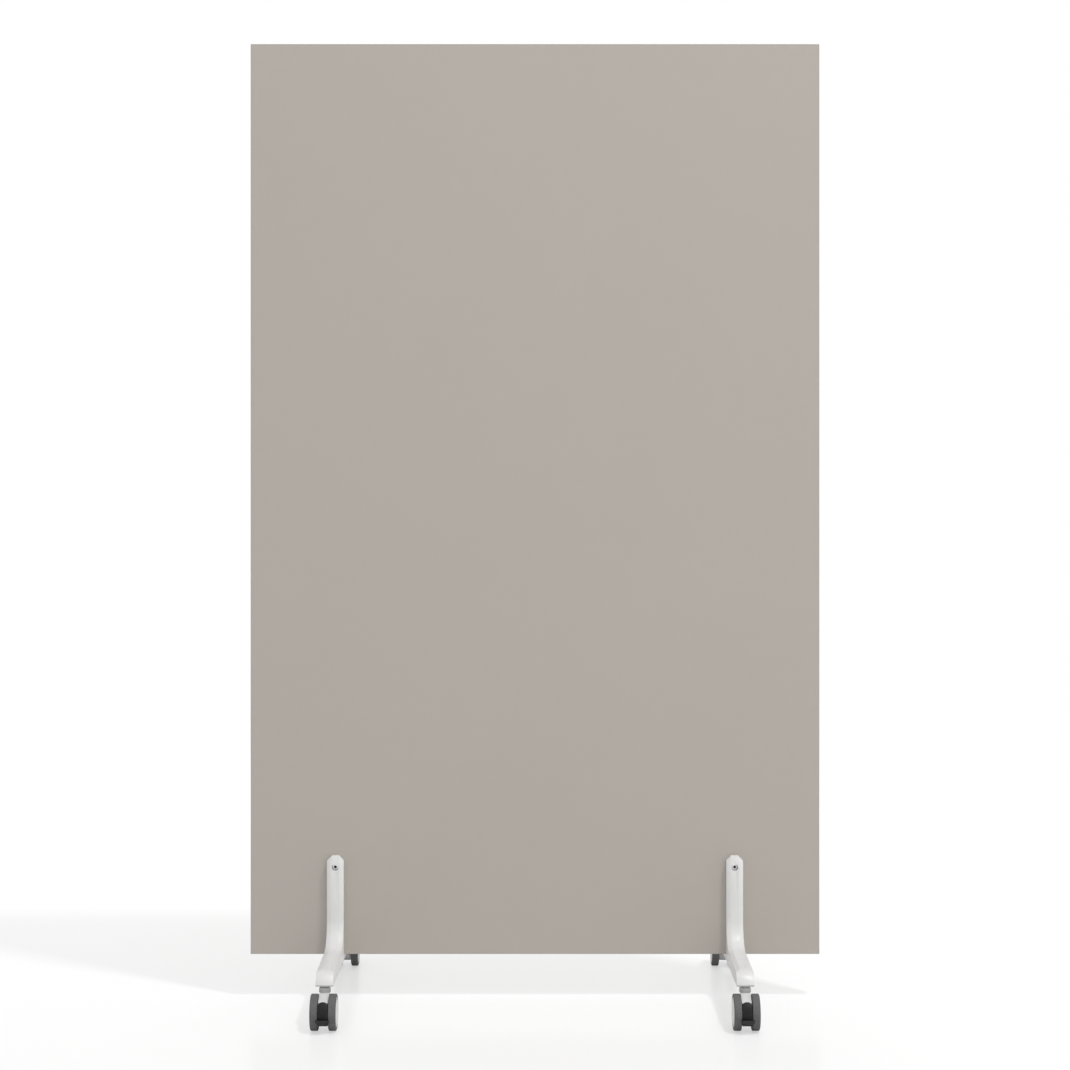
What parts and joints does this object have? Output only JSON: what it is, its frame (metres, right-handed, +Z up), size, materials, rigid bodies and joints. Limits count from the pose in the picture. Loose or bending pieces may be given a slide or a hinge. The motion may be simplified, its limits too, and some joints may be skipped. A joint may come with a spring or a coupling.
{
  "type": "rolling partition",
  "caption": "Tall flat panel held upright by pairs of low splayed legs that clamp it from both faces, on braked twin-wheel swivel casters.",
  "frame": {"origin": "on the floor under the middle of the panel", "axes": "+Z up, X along the panel's width, -Y towards the front face that the screws' heads are on"},
  "size_m": [1.25, 0.669, 2.095],
  "materials": {
    "core_board": "matte",
    "panel_laminate": "matte",
    "edge_band": "matte",
    "white_casting": "satin",
    "grey_rubber": "matte",
    "zinc_steel": "satin",
    "collar_plastic": "satin",
    "caster_nylon": "satin",
    "caster_tyre": "matte",
    "pedal_plastic": "satin"
  },
  "bodies": {
    "frame": {"panel_core": "core_board", "front_laminate": "panel_laminate", "rear_laminate": "panel_laminate", "top_edge_band": "edge_band", "bottom_edge_band": "edge_band", "left_edge_band": "edge_band", "right_edge_band": "edge_band", "clamp_sleeves": "zinc_steel", "leg_pads": "grey_rubber", "panel_rests": "grey_rubber", "clamp_screws": "zinc_steel", "clamp_nuts": "zinc_steel", "joint_screws": "zinc_steel", "left_front_leg": "white_casting", "right_front_leg": "white_casting", "left_rear_leg": "white_casting", "right_rear_leg": "white_casting", "caster_stems": "zinc_steel"},
    "front_left_caster": {"front_left_swivel_collar": "collar_plastic", "front_left_swivel_body": "caster_nylon", "front_left_axle": "zinc_steel"},
    "front_left_pedal": {"front_left_brake_pedal": "pedal_plastic"},
    "front_left_outer_wheel": {"front_left_outer_rim": "caster_nylon", "front_left_outer_tyre": "caster_tyre", "front_left_outer_hub_cap": "caster_nylon"},
    "front_left_inner_wheel": {"front_left_inner_rim": "caster_nylon", "front_left_inner_tyre": "caster_tyre", "front_left_inner_hub_cap": "caster_nylon"},
    "front_right_caster": {"front_right_swivel_collar": "collar_plastic", "front_right_swivel_body": "caster_nylon", "front_right_axle": "zinc_steel"},
    "front_right_pedal": {"front_right_brake_pedal": "pedal_plastic"},
    "front_right_outer_wheel": {"front_right_outer_rim": "caster_nylon", "front_right_outer_tyre": "caster_tyre", "front_right_outer_hub_cap": "caster_nylon"},
    "front_right_inner_wheel": {"front_right_inner_rim": "caster_nylon", "front_right_inner_tyre": "caster_tyre", "front_right_inner_hub_cap": "caster_nylon"},
    "rear_left_caster": {"rear_left_swivel_collar": "collar_plastic", "rear_left_swivel_body": "caster_nylon", "rear_left_axle": "zinc_steel"},
    "rear_left_pedal": {"rear_left_brake_pedal": "pedal_plastic"},
    "rear_left_outer_wheel": {"rear_left_outer_rim": "caster_nylon", "rear_left_outer_tyre": "caster_tyre", "rear_left_outer_hub_cap": "caster_nylon"},
    "rear_left_inner_wheel": {"rear_left_inner_rim": "caster_nylon", "rear_left_inner_tyre": "caster_tyre", "rear_left_inner_hub_cap": "caster_nylon"},
    "rear_right_caster": {"rear_right_swivel_collar": "collar_plastic", "rear_right_swivel_body": "caster_nylon", "rear_right_axle": "zinc_steel"},
    "rear_right_pedal": {"rear_right_brake_pedal": "pedal_plastic"},
    "rear_right_outer_wheel": {"rear_right_outer_rim": "caster_nylon", "rear_right_outer_tyre": "caster_tyre", "rear_right_outer_hub_cap": "caster_nylon"},
    "rear_right_inner_wheel": {"rear_right_inner_rim": "caster_nylon", "rear_right_inner_tyre": "caster_tyre", "rear_right_inner_hub_cap": "caster_nylon"}
  },
  "joints": [
    {"name": "front_left_swivel", "type": "hinge", "parent": "frame", "child": "front_left_caster", "pos_m": [-0.438, -0.2675, 0.08], "axis": [0, 0, 1], "continuous": true},
    {"name": "front_left_brake", "type": "hinge", "parent": "front_left_caster", "child": "front_left_pedal", "pos_m": [-0.438, -0.2915, 0.0375], "axis": [1, 0, 0], "range_deg": [0, 12]},
    {"name": "front_left_outer_roll", "type": "hinge", "parent": "front_left_caster", "child": "front_left_outer_wheel", "pos_m": [-0.457, -0.2915, 0.0375], "axis": [1, 0, 0], "continuous": true},
    {"name": "front_left_inner_roll", "type": "hinge", "parent": "front_left_caster", "child": "front_left_inner_wheel", "pos_m": [-0.419, -0.2915, 0.0375], "axis": [1, 0, 0], "continuous": true},
    {"name": "front_right_swivel", "type": "hinge", "parent": "frame", "child": "front_right_caster", "pos_m": [0.438, -0.2675, 0.08], "axis": [0, 0, 1], "continuous": true},
    {"name": "front_right_brake", "type": "hinge", "parent": "front_right_caster", "child": "front_right_pedal", "pos_m": [0.438, -0.2915, 0.0375], "axis": [1, 0, 0], "range_deg": [0, 12]},
    {"name": "front_right_outer_roll", "type": "hinge", "parent": "front_right_caster", "child": "front_right_outer_wheel", "pos_m": [0.457, -0.2915, 0.0375], "axis": [1, 0, 0], "continuous": true},
    {"name": "front_right_inner_roll", "type": "hinge", "parent": "front_right_caster", "child": "front_right_inner_wheel", "pos_m": [0.419, -0.2915, 0.0375], "axis": [1, 0, 0], "continuous": true},
    {"name": "rear_left_swivel", "type": "hinge", "parent": "frame", "child": "rear_left_caster", "pos_m": [-0.438, 0.2675, 0.08], "axis": [0, 0, 1], "continuous": true},
    {"name": "rear_left_brake", "type": "hinge", "parent": "rear_left_caster", "child": "rear_left_pedal", "pos_m": [-0.438, 0.2915, 0.0375], "axis": [-1, 0, 0], "range_deg": [0, 12]},
    {"name": "rear_left_outer_roll", "type": "hinge", "parent": "rear_left_caster", "child": "rear_left_outer_wheel", "pos_m": [-0.457, 0.2915, 0.0375], "axis": [1, 0, 0], "continuous": true},
    {"name": "rear_left_inner_roll", "type": "hinge", "parent": "rear_left_caster", "child": "rear_left_inner_wheel", "pos_m": [-0.419, 0.2915, 0.0375], "axis": [1, 0, 0], "continuous": true},
    {"name": "rear_right_swivel", "type": "hinge", "parent": "frame", "child": "rear_right_caster", "pos_m": [0.438, 0.2675, 0.08], "axis": [0, 0, 1], "continuous": true},
    {"name": "rear_right_brake", "type": "hinge", "parent": "rear_right_caster", "child": "rear_right_pedal", "pos_m": [0.438, 0.2915, 0.0375], "axis": [-1, 0, 0], "range_deg": [0, 12]},
    {"name": "rear_right_outer_roll", "type": "hinge", "parent": "rear_right_caster", "child": "rear_right_outer_wheel", "pos_m": [0.457, 0.2915, 0.0375], "axis": [1, 0, 0], "continuous": true},
    {"name": "rear_right_inner_roll", "type": "hinge", "parent": "rear_right_caster", "child": "rear_right_inner_wheel", "pos_m": [0.419, 0.2915, 0.0375], "axis": [1, 0, 0], "continuous": true}
  ]
}
